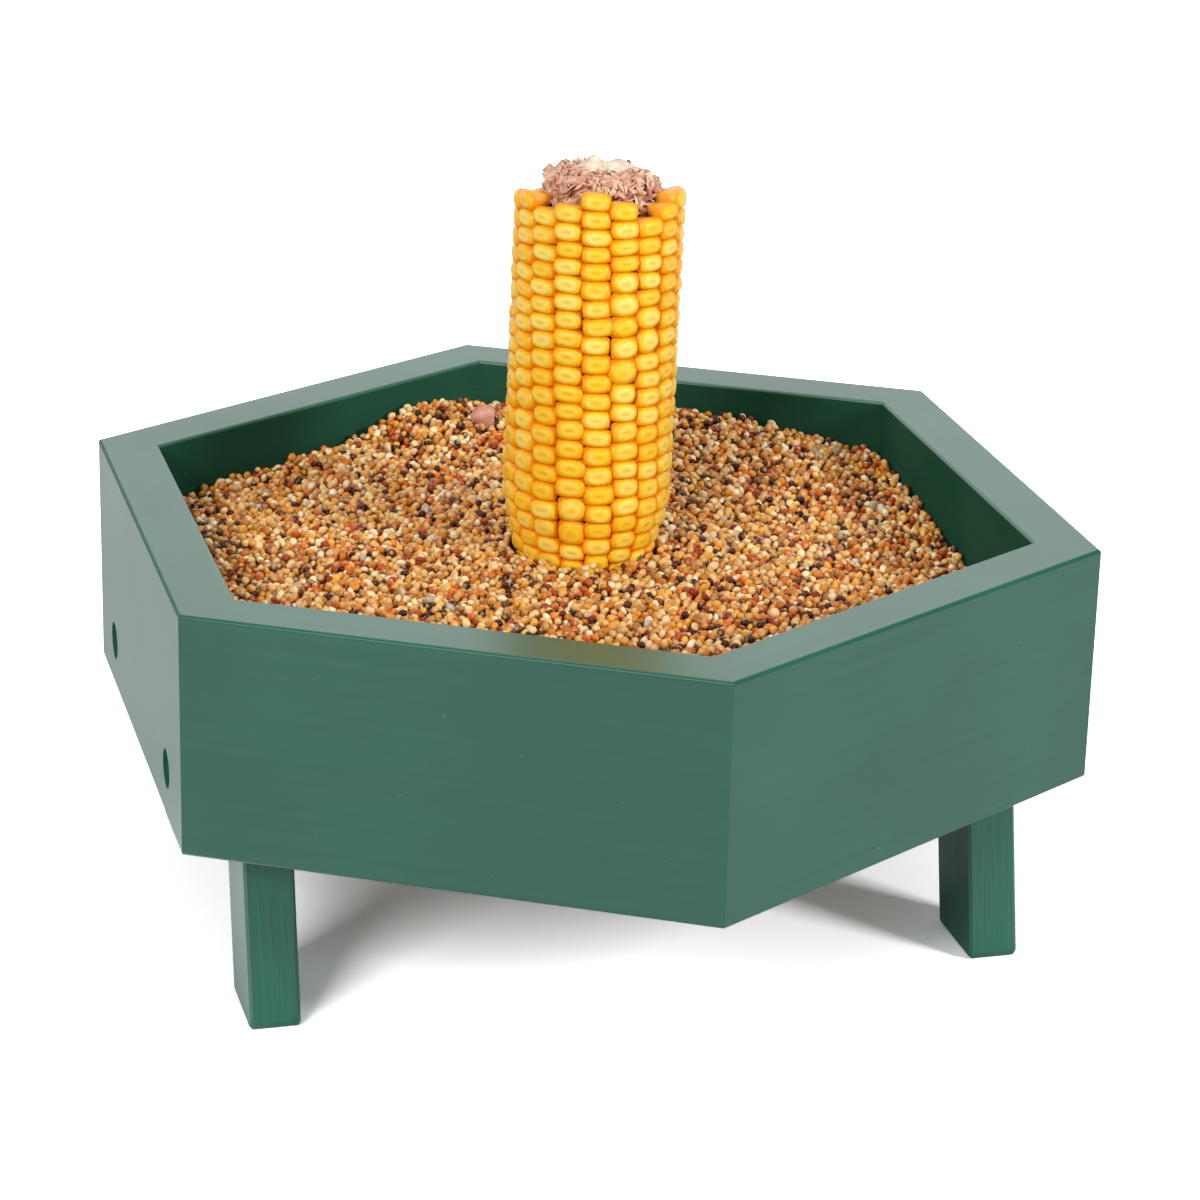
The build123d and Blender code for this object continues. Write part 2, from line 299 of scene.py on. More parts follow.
# How streaks run in a board: stretch of the noise in metres, share, relief and brightness; the legs'
# brightness above one is painted light, a lighter copy of the walls' green
wallGrain = dict(stretch=(0.004, 0.16, 0.0035), streak=0.16, relief=0.12, lift=1.0)
legGrainPaintedLight = dict(stretch=(0.0006, 0.0006, 0.03), streak=0.5, relief=0.2, lift=1.52)


# The gloss is all in the coat, which the inside of a wall has lost; there its colour is also darker and
# browner, as painted shade
def greenPaint(name, turn, grain, dulledAndShaded=False):
    finish, tree, shader = startFinish(name, **paint["finish"])
    plainPlace = placed(tree)
    streaks = noiseOn(tree, placed(tree, turn, grain["stretch"]), 1.0, 4.0, 0.6)
    mottle = noiseOn(tree, plainPlace, *paint["mottle"])
    tones = [(0.25, paint["deep"]), (0.5, paint["plain"]), (0.75, paint["light"])]
    colour = coloursAlong(tree, mottle, tones)
    strokes = greys(tree, streaks, [(place, grey * grain["lift"]) for place, grey in paint["strokes"]])
    colour = mixOf(tree, grain["streak"], colour, strokes, "MULTIPLY")
    specks = greys(tree, noiseOn(tree, plainPlace, *paint["specks"]), paint["speckFrom"])
    colour = mixOf(tree, specks, colour, (*paint["speck"], 1.0))
    if dulledAndShaded:
        distance = distanceAcross(tree, turn)
        outside = stepBetween(tree, distance, *paint["insideEdge"])
        # painted shade: the inside of a wall is tinted darker and browner
        shading = mixOf(tree, outside, (*paint["insideShadeTone"], 1.0), (1.0, 1.0, 1.0, 1.0))
        colour = mixOf(tree, 1.0, colour, shading, "MULTIPLY")
        edge = stepBetween(tree, distance, *paint["rubbedFrom"])
        upper = stepBetween(tree, partOf(tree, plainPlace, "Z"), *paint["rubbedAbove"])
        rubbed = combined(tree, "MULTIPLY", [edge, upper])
        kept = greys(tree, rubbed, [(0.0, 1.0), (1.0, paint["rubbedCoat"])])
        feed(tree, shader, Coat_Weight=combined(tree, "MULTIPLY", [outside, kept]))
    feed(tree, shader, Base_Color=colour)
    bumpOn(tree, shader, streaks, grain["relief"], paint["depth"])
    return finish


wallPaints = {turn: greenPaint(f"green paint {turn}", (0, 0, turn), wallGrain, dulledAndShaded=True)
              for turn in (0, 60, 120)}
# painted light: the legs get a lighter copy of the walls' green paint
legPaintsPaintedLight = {side: greenPaint(f"green paint {side} legs", (lean, 0, 0), legGrainPaintedLight)
             for side, lean in (("front", -12), ("back", 12))}
barPaint = greenPaint("green paint bar", (0, 0, -30), wallGrain)


# A finish that follows one noise: tones and gloss along it, and its relief or a finer one's
def speckled(name, look):
    finish, tree, shader = startFinish(name, **look["finish"])
    noise = noiseOn(tree, placed(tree, stretch=look.get("stretch", (1, 1, 1))), *look["noise"])
    colour = coloursAlong(tree, noise, look["tones"])
    if "ownTones" in look:  # along a value that the mesh carries
        own = coloursAlong(tree, valueOf(tree, "tone"), look["ownTones"])
        colour = mixOf(tree, 1.0, colour, own, "MULTIPLY")
    feed(tree, shader, Base_Color=colour, Roughness=greys(tree, noise, look["gloss"]))
    height = noiseOn(tree, placed(tree), *look["finer"]) if "finer" in look else noise
    bumpOn(tree, shader, height, *look["relief"])
    return finish


# Zinc, duller wire and plywood; a noise is scale, detail and roughness, relief is strength and depth
zincLook = dict(
    finish=dict(Metallic=1.0),
    noise=(260.0, 4.0, 0.6),
    tones=[(0.3, (0.40, 0.41, 0.43)), (0.7, (0.62, 0.63, 0.64))],
    gloss=[(0.3, 0.38), (0.7, 0.26)],
    finer=(1500.0, 2.0),
    relief=(0.12, 0.05),
)
wireLook = dict(
    zincLook,
    tones=[(0.3, (0.30, 0.31, 0.32)), (0.7, (0.50, 0.51, 0.52))],
    gloss=[(0.3, 0.46), (0.7, 0.34)],
)
plyLook = dict(
    finish={},
    stretch=(0.001, 0.001, 0.03),
    noise=(1.0, 4.0),
    tones=[(0.3, (0.42, 0.26, 0.12)), (0.7, (0.66, 0.47, 0.27))],
    gloss=[(0.3, 0.72), (0.7, 0.6)],
    relief=(0.3, 0.2),
)
boltLook = dict(
    finish=dict(IOR=1.5, Coat_Weight=0.5, Coat_Roughness=0.2),
    paintFrom=(0.1440, 0.1445),  # metres from the middle
    noise=(300.0, 3.0),
    gloss=[(0.3, 0.30), (0.7, 0.42)],
    relief=(0.2, 0.15),
)
zincSteel = speckled("zinc steel", zincLook)
meshSteel = speckled("galvanised wire", wireLook)


# Bolt: green paint on the head, zinc on the shank inside
def boltPaint():
    finish, tree, shader = startFinish("painted bolt", **boltLook["finish"])
    outside = stepBetween(tree, distanceAcross(tree), *boltLook["paintFrom"])
    blotch = noiseOn(tree, placed(tree), *boltLook["noise"])
    green = coloursAlong(tree, blotch, [(0.3, paint["plain"]), (0.7, paint["worn"])])
    zinc = coloursAlong(tree, blotch, zincLook["tones"])
    feed(tree, shader, Base_Color=mixOf(tree, outside, zinc, green))
    feed(tree, shader, Metallic=greys(tree, outside, [(0.0, 1.0), (1.0, 0.0)]))
    feed(tree, shader, Roughness=greys(tree, blotch, boltLook["gloss"]))
    bumpOn(tree, shader, blotch, *boltLook["relief"])
    return finish


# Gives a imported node, one that stays in view, its finish
def dress(node, finish):
    nodes[node].data.materials.clear()
    nodes[node].data.materials.append(finish)


wallSides = ("right", "back_right", "back_left", "left", "front_left", "front_right")
for side, heading in zip(wallSides, tray["headings"]):
    dress("wall_" + side, wallPaints[heading % 180])
    dress("cleat_" + side, wallPaints[heading % 180])
for end in ("front", "back"):
    for side in ("left", "right"):
        dress(f"leg_{end}_{side}", legPaintsPaintedLight[end])
dress("spike_bar", barPaint)
dress("leg_bolts", boltPaint())
dress("corner_splines", speckled("bare plywood", plyLook))
dress("mesh_ring", meshSteel)
print("packed nodes dressed")

# Layer of mixed seed
seeds = dict(
    level=129.2,
    # heaps and hollows: height, place across and along, spread
    heaps=((8.0, 70.0, 105.0, 35.0), (8.2, -30.0, 139.5, 19.0), (-9.5, 140.0, -36.0, 34.0),
           (-4.0, 145.0, 30.0, 45.0), (-3.5, -135.0, 80.0, 22.0)),
    spacing=2.95,
    jitter=0.72,
    reach=90,  # lattice steps either way
    looseStep=(0.5, 0.3),  # of a loose seed from the one below, in spacings
    lift=0.5,
    wallGap=1.75,
    cobRadius=26.6,
    looseShare=0.27,
    looseLift=(0.9, 2.0),
    rings=4,
    columns=7,
    tip=1.25,
    vary=(0.88, 1.12),  # of each axis of a seed
)
# Share of the mixture, half length, proportions, gloss, and the tones that a kind runs through
seedKinds = {
    "tan": dict(
        share=0.26, size=(1.45, 2.00), shape=(1.0, 0.88, 0.68), gloss=0.20,
        tones=[(0.0, (0.392, 0.147, 0.028)), (0.5, (0.63, 0.320, 0.075)), (1.0, (0.80, 0.49, 0.175))],
    ),
    "straw": dict(
        share=0.14, size=(1.45, 2.05), shape=(1.0, 0.86, 0.64), gloss=0.20,
        tones=[(0.0, (0.57, 0.295, 0.082)), (0.5, (0.78, 0.505, 0.170)), (1.0, (0.88, 0.660, 0.29))],
    ),
    "golden": dict(
        share=0.21, size=(1.45, 2.00), shape=(1.0, 0.88, 0.68), gloss=0.18,
        tones=[(0.0, (0.519, 0.168, 0.016)), (0.5, (0.74, 0.310, 0.030)), (1.0, (0.85, 0.440, 0.070))],
    ),
    "red": dict(
        share=0.13, size=(1.42, 1.95), shape=(1.0, 0.88, 0.70), gloss=0.15,
        tones=[(0.0, (0.265, 0.0294, 0.004)), (0.5, (0.53, 0.0893, 0.006)), (1.0, (0.742, 0.21, 0.012))],
    ),
    "cream": dict(
        share=0.13, size=(1.45, 2.15), shape=(1.0, 0.84, 0.60), gloss=0.24,
        tones=[(0.0, (0.70, 0.49, 0.23)), (0.6, (0.88, 0.71, 0.41)), (1.0, (0.93, 0.81, 0.57))],
    ),
    "dark": dict(
        share=0.12, size=(1.38, 1.80), shape=(1.0, 0.90, 0.76), gloss=0.09,
        tones=[(0.0, (0.030, 0.0060, 0.003)), (0.6, (0.075, 0.0140, 0.005)), (1.0, (0.17, 0.0400, 0.009))],
    ),
    "grey": dict(
        share=0.01, size=(1.7, 2.4), shape=(1.0, 0.80, 0.50), gloss=0.30,
        tones=[(0.0, (0.318, 0.294, 0.21)), (1.0, (0.594, 0.546, 0.42))],
    ),
}


# Height of the seed: the level, plus bell-shaped heaps and hollows
def seedHeight(x, y):
    return withBells(seeds["level"], x, y, seeds["heaps"])


# Distance from the middle towards the nearest wall: the largest along the three wall directions
def hexagonReach(x, y):
    angles = np.radians([0, 60, 120])
    along = np.multiply.outer(x, np.cos(angles)) + np.multiply.outer(y, np.sin(angles))
    return np.max(np.abs(along), -1)


# Husk of a seed
husk = dict(
    finish=dict(IOR=1.46, Specular_IOR_Level=0.32),
    noise=(950.0, 2.0),
    marks=[(0.3, (0.72, 0.56, 0.42)), (0.65, (1.12, 1.12, 1.12))],
    markShare=0.40,
    root=[(0.0, (0.74, 0.56, 0.42)), (0.3, (1.0, 1.0, 1.0))],  # shading from the root towards the tip
    scar=(0.9, 0.76, 0.50, 1.0),
    scarFrom=[(0.88, 0.0), (0.98, 0.40)],
    relief=(0.25, 0.12),
)


# One tone for each seed, times fine marks and a dark root, then a paler scar at the tip
def seedFinish(name, look):
    finish, tree, shader = startFinish(name, Roughness=look["gloss"], **husk["finish"])
    colour = coloursAlong(tree, valueOf(tree, "tint"), look["tones"])
    fine = noiseOn(tree, placed(tree), *husk["noise"])
    colour = mixOf(tree, husk["markShare"], colour, coloursAlong(tree, fine, husk["marks"]), "MULTIPLY")
    along = valueOf(tree, "tip")
    colour = mixOf(tree, 1.0, colour, coloursAlong(tree, along, husk["root"]), "MULTIPLY")
    colour = mixOf(tree, greys(tree, along, husk["scarFrom"]), colour, husk["scar"])
    feed(tree, shader, Base_Color=colour)
    bumpOn(tree, shader, fine, *husk["relief"])
    return finish


# Seeds lie on a shaken triangular lattice, with loose ones on top
def seedPlaces():
    spacing = seeds["spacing"]
    steps = np.arange(-seeds["reach"], seeds["reach"] + 1)
    column, row = np.meshgrid(steps, steps)
    x = ((column + 0.5 * (row % 2)) * spacing).ravel()
    y = (row * spacing * math.sqrt(0.75)).ravel()
    x = x + dice.uniform(-1, 1, x.shape) * seeds["jitter"]
    y = y + dice.uniform(-1, 1, y.shape) * seeds["jitter"]
    z = seedHeight(x, y) + dice.normal(0, seeds["lift"], x.shape)
    loose = dice.random(x.shape) < seeds["looseShare"]
    stepX, stepY = seeds["looseStep"]
    looseX = x[loose] + spacing * stepX
    looseY = y[loose] + spacing * stepY
    looseZ = seedHeight(looseX, looseY) + dice.uniform(*seeds["looseLift"], looseX.shape)
    x, y, z = np.r_[x, looseX], np.r_[y, looseY], np.r_[z, looseZ]
    inside = hexagonReach(x, y) < tray["innerFlat"] - seeds["wallGap"]
    clear = np.hypot(x, y) > seeds["cobRadius"]
    return np.stack([x, y, z], -1)[inside & clear]


# Each place draws a kind by its share; a seed is a ball stretched along three axes and turned at random
def scatterSeeds():
    places = seedPlaces()
    shares = np.array([look["share"] for look in seedKinds.values()])
    drawn = dice.choice(len(shares), len(places), p=shares / shares.sum())
    for index, (kind, look) in enumerate(seedKinds.items()):
        centres = places[drawn == index]
        size = dice.uniform(*look["size"], len(centres))
        vary = dice.uniform(*seeds["vary"], (len(centres), 3))
        lengths = size[:, None] * np.array(look["shape"]) * vary
        axes = randomTurns(len(centres)) * lengths[:, :, None]
        one = ball(seeds["rings"], seeds["columns"])
        one[0][-1, 2] = seeds["tip"]  # drawn out to a point at the scar
        tint = np.repeat(dice.random(len(centres)), len(one[0]))
        tip = np.tile(np.clip(0.5 + one[0][:, 2] / 2, 0, 1), len(centres))  # 0 to 1 from end to end
        shape = spread(one, axes, centres)
        finish = seedFinish(f"{kind} seed", look)
        addPiece(f"{kind}_seeds", shape, finish, "tray", values={"tint": tint, "tip": tip})


# Packed seed under the loose ones
bed = dict(
    columns=144,
    topRings=14,
    below=1.8,
    pitRadius=26.5,
    sideGap=0.35,
    ringWidth=9.0,
    meshGap=0.8,
    ringGap=0.05,  # above the ring and above the mesh
    floorGap=0.02,
    cells=370.0,  # to the metre
    mixture=[(0.0, (0.035, 0.013, 0.010)), (0.12, (0.46, 0.09, 0.010)), (0.26, (0.58, 0.27, 0.075)),
             (0.62, (0.70, 0.28, 0.034)), (0.85, (0.78, 0.56, 0.28))],
    gapShadeAndRelief=[(0.25, 1.0), (0.62, 0.22)],  # painted shade between the seeds, also their relief, along the distance from a cell's middle
    shading=[(0.22, (0.50, 0.27, 0.14)), (1.0, (1.0, 1.0, 1.0))],
    shadingShare=0.9,
    gloss=[(0.0, 0.30), (1.0, 0.50)],
    relief=(0.8, 1.2),
)


# Distance to a hexagon's edge: its flat distance over the cosine of the angle from the nearest flat
def hexagonEdge(angle, flat):
    within = (angle + np.pi / 6) % (np.pi / 3) - np.pi / 6
    return flat / np.cos(within)


# A closed loop of profile carried round the hexagon: rolling top, pit, floor and ledge
def seedPackShape():
    angle = fullTurn(bed["columns"])
    outerFlat = tray["innerFlat"] - bed["sideGap"]
    ledgeFlat = tray["innerFlat"] - bed["meshGap"] - bed["ringWidth"] - bed["sideGap"]
    outer, ledge = hexagonEdge(angle, outerFlat), hexagonEdge(angle, ledgeFlat)
    pit = bed["pitRadius"]
    share = np.linspace(0, 1, bed["topRings"])[:, None]
    top = roundAxis(angle, outer + (pit - outer) * share, 0.0)
    top[..., 2] = seedHeight(top[..., 0], top[..., 1]) - bed["below"]
    ledgeHeight = tray["ringTop"] + bed["ringGap"]
    floorHeight = tray["meshTop"] + bed["floorGap"]
    low = [(pit, floorHeight), (ledge, floorHeight), (ledge, ledgeHeight), (outer, ledgeHeight)]
    under = np.array([roundAxis(angle, reach, height) for reach, height in low])
    return looped(np.concatenate([top, under]))


# Cells the size of seeds, each with a tone of the mixture, darker towards their edges as painted shade
# between the seeds
def seedPackFinish():
    finish, tree, shader = startFinish("packed seed", IOR=1.46)
    cells = newNode(tree, "TexVoronoi", {"Vector": placed(tree), "Scale": bed["cells"]})
    apart = newNode(tree, "SeparateColor", {"Color": cells["Color"]})
    colour = coloursAlong(tree, apart["Red"], bed["mixture"])
    gapShadeAndRelief = greys(tree, cells["Distance"], bed["gapShadeAndRelief"])
    # painted shade: each cell darkens and browns towards its edge, where seeds would shade each other
    shading = coloursAlong(tree, gapShadeAndRelief, bed["shading"])
    feed(tree, shader, Base_Color=mixOf(tree, bed["shadingShare"], colour, shading, "MULTIPLY"))
    feed(tree, shader, Roughness=greys(tree, apart["Green"], bed["gloss"]))
    bumpOn(tree, shader, gapShadeAndRelief, *bed["relief"])
    return finish


addPiece("packed_seed", seedPackShape(), seedPackFinish(), "tray", ("seed_bed",), sharp=40)
scatterSeeds()
print("seed laid")

# Corn cob: heights are along the cob's own axis, from its cut end upwards
cob = dict(
    bottom=117.5,
    lean=1.4,  # degrees towards the right
    rows=18,
    crown=29.0,
    drawIn=7.0,  # the butt's radius is less by this, and grows to the full crown over drawHeight
    drawHeight=30.75,
    width=10.3,  # of a kernel, round the cob
    twist=0.115,  # degrees for each millimetre up, about twistHeight
    twistHeight=63.0,
    sway=0.012,  # of a row to its sides: angle, and how fast it goes up the cob and from row to row
    swayHeight=14.0,
    swayRow=0.4,
    lowest=2.5,
    pitch=6.1,
    extraPitch=0.72,  # kernels are longer about bulgeHeight
    bulgeHeight=52.0,
    bulgeSpread=30.0,
    halfLength=0.502,  # of the pitch, so that neighbours just meet
    rootDepth=10.2,
    dentDepth=0.17,
    endShades=(1.0, 0.11),  # at the last points of root and crown
    columns=12,
    # top of each row, from the right round by the back
    tops=(139.6, 135.6, 134.8, 133.6, 132.8, 134.2, 133.2, 133.4, 135.0,
          137.6, 139.6, 135.9, 138.8, 143.6, 140.6, 134.6, 138.2, 141.0),
    # rounder kernels: row, height of the middle, length
    round=((14, 112.0, 7.4), (14, 103.8, 8.0), (14, 96.2, 7.2), (14, 88.6, 7.6), (14, 79.5, 8.8),
           (15, 98.9, 7.8), (15, 90.4, 8.6), (12, 31.0, 8.6), (12, 21.6, 9.4), (10, 70.0, 8.0),
           (3, 60.0, 8.2), (6, 96.0, 7.8), (7, 34.0, 8.4), (1, 84.0, 7.6)),
)
# How far kernels differ from each other, and how a rounder one differs from the rest
kernelSpread = dict(length=0.05, turn=0.010, crown=0.14, width=0.035, dent=0.35, square=0.05,
                    tilt=0.055, tint=0.3)
roundKernel = dict(narrow=0.03, dent=-0.45, square=0.25)
# Rings of one kernel from its root to its crown: share of width, share of length, depth, shade, squareness
kernelRings = np.array([
    (0.66, 0.66, 9.60, 0.97, 3.0),
    (1.08, 1.03, 2.30, 0.68, 7.0),
    (1.00, 1.00, 1.45, 0.50, 3.0),
    (0.90, 0.88, 0.55, 0.25, 2.7),
    (0.66, 0.60, 0.08, 0.03, 2.5),
    (0.46, 0.32, 0.00, 0.00, 2.3),
    (0.28, 0.12, 0.12, 0.08, 2.2),
])


# Cob's own axes into the feeder's: a turn about Y by the lean, then up to the cob's seat
def onCob(points):
    lean = math.radians(cob["lean"])
    x, y, z = np.moveaxis(np.asarray(points, float), -1, 0)
    across = x * math.cos(lean) + z * math.sin(lean)
    up = z * math.cos(lean) - x * math.sin(lean) + cob["bottom"]
    return np.stack([across, y, up], -1)


# Kernels of each row from its top down to the cut end: row, height of the middle, length, roundness
def kernelList():
    listed = []
    for row, top in enumerate(cob["tops"]):
        edge = top
        while edge > cob["lowest"]:
            bulge = math.exp(-(((edge - cob["bulgeHeight"]) / cob["bulgeSpread"]) ** 2))
            pitch = cob["pitch"] + cob["extraPitch"] * bulge
            length = pitch * (1 + kernelSpread["length"] * dice.normal())
            roundness = 0.0
            for roundRow, middle, size in cob["round"]:
                if roundRow == row and abs(edge - size / 2 - middle) < size / 2:
                    length, roundness = size, 1.0
            listed.append((row, edge - length / 2, length, roundness))
            edge -= length
    return np.array(listed)


# A kernel is a stack of rounded oblongs, superellipses of its width and length, set along the radius
def cornKernels():
    row, middle, length, roundness = kernelList().T
    count = len(row)
    sway = cob["sway"] * np.sin(middle / cob["swayHeight"] + row * cob["swayRow"])
    twist = np.radians(cob["twist"]) * (cob["twistHeight"] - middle)
    angle = np.radians(row * 360 / cob["rows"]) + twist + sway + dice.normal(0, kernelSpread["turn"], count)
    drawn = np.clip(1 - middle / cob["drawHeight"], 0, 1) * cob["drawIn"]
    slope = np.where(middle < cob["drawHeight"], cob["drawIn"] / cob["drawHeight"], 0.0)
    crown = cob["crown"] - drawn + dice.normal(0, kernelSpread["crown"], count)
    half = cob["width"] / 2 * (1 + dice.normal(0, kernelSpread["width"], count))
    half = half * (1 - roundKernel["narrow"] * roundness)
    dent = np.where(roundness > 0, roundKernel["dent"], 1.0 + dice.normal(0, kernelSpread["dent"], count))
    wide, long, deep, shade, square = kernelRings.T
    squareness = 1 + dice.normal(0, kernelSpread["square"], count) - roundKernel["square"] * roundness
    power = square * squareness[:, None]
    way = fullTurn(cob["columns"])
    cosine, sine = np.cos(way), np.sin(way)
    across = np.sign(cosine) * np.abs(cosine) ** (2 / power[:, :, None])
    along = np.sign(sine) * np.abs(sine) ** (2 / power[:, :, None])
    depth = np.repeat(deep[None, :], count, 0)
    depth[:, -1] *= dent
    radius = (crown[:, None] - depth)[:, :, None]
    offset = across * (half[:, None] * wide)[:, :, None] * radius / cob["crown"]
    rise = along * (cob["halfLength"] * length[:, None] * long)[:, :, None]
    tilt = dice.normal(0, kernelSpread["tilt"], count)[:, None, None]  # a kernel leans a little in its row
    rise, offset = rise + offset * tilt, offset - rise * tilt
    radius = radius + slope[:, None, None] * rise
    turn = angle[:, None, None]
    x = radius * np.cos(turn) - offset * np.sin(turn)
    y = radius * np.sin(turn) + offset * np.cos(turn)
    rings = np.stack([x, y, middle[:, None, None] + rise], -1)
    inward = cob["rootDepth"], cob["dentDepth"] * dent
    ends = [roundAxis(angle, crown - depth, middle)[:, None] for depth in inward]
    points = np.concatenate([rings.reshape(count, -1, 3), *ends], 1)
    _, quads, triangles = skin(rings[0], ends[0][0, 0], ends[1][0, 0])
    each = points.shape[1]
    shape = onCob(points.reshape(-1, 3)), repeated(quads, each, count), repeated(triangles, each, count)
    shades = np.concatenate([np.repeat(shade, cob["columns"]), cob["endShades"]])
    tint = np.clip(dice.normal(0.5, kernelSpread["tint"], count), 0, 1)
    return shape, {"shade": np.tile(shades, count), "tint": np.repeat(tint, each)}


# Kernel: pale gold on the crown, cream at the root; deeper in the dent as painted shade, and orange down the
# sides, partly the kernel's own colour and partly painted shade in the creases
kernel = dict(
    finish=dict(IOR=1.47, Specular_IOR_Level=0.3, Coat_Weight=0.12, Coat_Roughness=0.24),
    yellow=[(0.0, (1.0, 0.62, 0.034)), (0.13, (0.95, 0.45, 0.004)), (0.26, (1.0, 0.49, 0.004)),
            (0.55, (0.93, 0.28, 0.001)), (0.93, (0.90, 0.42, 0.03)), (1.0, (0.90, 0.62, 0.24))],
    pale=[(0.0, (1.0, 0.77, 0.18)), (0.13, (0.97, 0.57, 0.025)), (0.26, (1.0, 0.59, 0.02)),
          (0.55, (0.94, 0.34, 0.002)), (0.93, (0.90, 0.46, 0.05)), (1.0, (0.90, 0.66, 0.30))],
    noise=(300.0, 2.0),
    noiseShare=0.45,
    paleFrom=[(0.38, 0.0), (0.68, 1.0)],
    gloss=[(0.3, 0.30), (0.7, 0.42)],
    finer=(700.0, 2.0),
    relief=(0.10, 0.2),
)


# Each kernel lies between yellow and pale, by its own tint and a noise
def kernelFinish():
    finish, tree, shader = startFinish("corn kernel", **kernel["finish"])
    # the colour follows the depth: deeper in the dent and the creases as painted shade, partly the kernel's
    # own orange
    depth = valueOf(tree, "shade")
    yellow, pale = [coloursAlong(tree, depth, kernel[tones]) for tones in ("yellow", "pale")]
    patch = noiseOn(tree, placed(tree), *kernel["noise"])
    lightness = mixOf(tree, kernel["noiseShare"], valueOf(tree, "tint"), patch)
    feed(tree, shader, Base_Color=mixOf(tree, greys(tree, lightness, kernel["paleFrom"]), yellow, pale))
    feed(tree, shader, Roughness=greys(tree, patch, kernel["gloss"]))
    bumpOn(tree, shader, noiseOn(tree, placed(tree), *kernel["finer"]), *kernel["relief"])
    return finish


kernels, kernelValues = cornKernels()
addPiece("corn_kernels", kernels, kernelFinish(), "corn", ("corn_kernel_rows",), kernelValues)

# Cob's core: bore, cut end, side and ragged top in one profile, radius and height
core = dict(
    bore=3.08,
    boreEnd=72.0,
    columns=40,
    roughFrom=132.0,
    rough=0.75,
    lowSide=50.0,  # degrees: the top is broken lower on this side
    shift=(0.9, -0.25),  # of the broken top from the cob's axis
    drop=4.6,
    dropReach=20.0,
    dropFrom=136.0,  # the drop sets in over this height
    dropOver=8.0,
    peak=145.0,
    profile=((8.0, 0.0), (12.0, 0.25), (13.4, 0.6), (14.4, 4.0), (20.2, 31.0), (20.2, 128.0), (18.6, 132.0),
             (18.4, 134.5), (18.3, 137.0), (18.1, 139.5), (17.2, 141.6), (15.6, 143.4), (13.6, 144.4),
             (11.5, 144.6), (8.0, 144.6), (4.0, 144.6)),
)
cobLook = dict(finish=dict(IOR=1.4), gloss=[(0.3, 0.85), (0.7, 0.6)], relief=(0.6, 0.5))


# How far the broken top has dropped: in proportion to the distance towards the low side
def topDrop(x, y):
    way = math.radians(core["lowSide"])
    towards = x * math.cos(way) + y * math.sin(way)
    return core["drop"] * np.clip(towards / core["dropReach"], 0, 1)


# The bore is upright while the cob leans, so its rings slide back across the cob's axis as they rise
def corePiece():
    bore = [(core["bore"], core["boreEnd"]), (core["bore"], 0.0)]
    rings = turned(bore + list(core["profile"]), core["columns"])
    slide = math.tan(math.radians(cob["lean"]))
    rings[:2, :, 0] -= rings[:2, :, 2] * slide
    ragged = rings[..., 2:3] > core["roughFrom"]
    rings = rings + ragged * dice.normal(0, core["rough"], rings.shape)
    upper = np.clip((rings[..., 2] - core["dropFrom"]) / core["dropOver"], 0, 1)
    rings[..., 2] -= upper * topDrop(rings[..., 0], rings[..., 1])
    boreTop = (-core["boreEnd"] * slide, 0, core["boreEnd"])
    points, quads, triangles = skin(rings, boreTop, (0, 0, core["peak"]))
    return onCob(points), quads, triangles


# Dry cob: speckled between two tones
def cobFinish(name, dark, light, scale=320.0, **more):
    tones = [(0.32, dark), (0.66, light)]
    return speckled(name, dict(cobLook, noise=(scale, 4.0, 0.65), tones=tones, **more))


addPiece("corn_core_body", corePiece(), cobFinish("cob core", (0.34, 0.11, 0.055), (0.60, 0.28, 0.18)),
         "corn", ("corn_core",), sharp=50)

# Chaff: thin curled scales that stand up round the pith
chaff = dict(
    count=1000,
    sideShare=0.40,
    inner=9.6,
    outer=17.4,
    side=(17.8, 19.2),
    low=133.0,
    high=145.8,
    fall=2.4,
    uneven=0.9,
    long=(1.5, 3.2),
    wide=(1.2, 2.3),
    thick=0.34,
    curl=2.2,
    # most scales run from rust to peach, a few are straw
    tones=[(0.0, (0.60, 0.26, 0.16)), (0.40, (0.78, 0.45, 0.31)), (0.80, (0.88, 0.60, 0.46)),
           (0.90, (0.90, 0.68, 0.46)), (1.0, (0.92, 0.77, 0.58))],
)


# Scales are flattened balls, bent along their length by the square of the distance from the middle
def chaffScales():
    count = chaff["count"]
    points, quads, triangles = ball(rings=3, columns=6)
    points[:, 2] += chaff["curl"] * (points[:, 0] ** 2 - 0.4)  # in thicknesses
    angle = dice.uniform(0, 2 * np.pi, count)
    reach = np.sqrt(dice.uniform(chaff["inner"] ** 2, chaff["outer"] ** 2, count))
    share = (reach - chaff["inner"]) / (chaff["outer"] - chaff["inner"])
    height = chaff["high"] - chaff["fall"] * share**2.5 - np.abs(dice.normal(0, chaff["uneven"], count))
    onSide = dice.random(count) < chaff["sideShare"]
    reach = np.where(onSide, dice.uniform(*chaff["side"], count), reach)
    height = np.where(onSide, dice.uniform(chaff["low"], chaff["high"] - chaff["fall"], count), height)
    x, y = reach * np.cos(angle), reach * np.sin(angle)
    shiftX, shiftY = core["shift"]
    centres = onCob(np.stack([x + shiftX, y + shiftY, height - topDrop(x, y)], -1))
    lengths = np.stack([dice.uniform(*chaff["long"], count), dice.uniform(*chaff["wide"], count),
                        np.full(count, chaff["thick"])], -1)
    axes = randomTurns(count) * lengths[:, :, None]
    tint = np.repeat(dice.random(count), len(points))
    return spread((points, quads, triangles), axes, centres), {"tone": tint}


scales, scaleTones = chaffScales()
chaffFinish = cobFinish("cob chaff", (0.78, 0.74, 0.72), (1.0, 1.0, 1.0), 420.0, ownTones=chaff["tones"])
addPiece("corn_chaff", scales, chaffFinish, "corn", values=scaleTones)

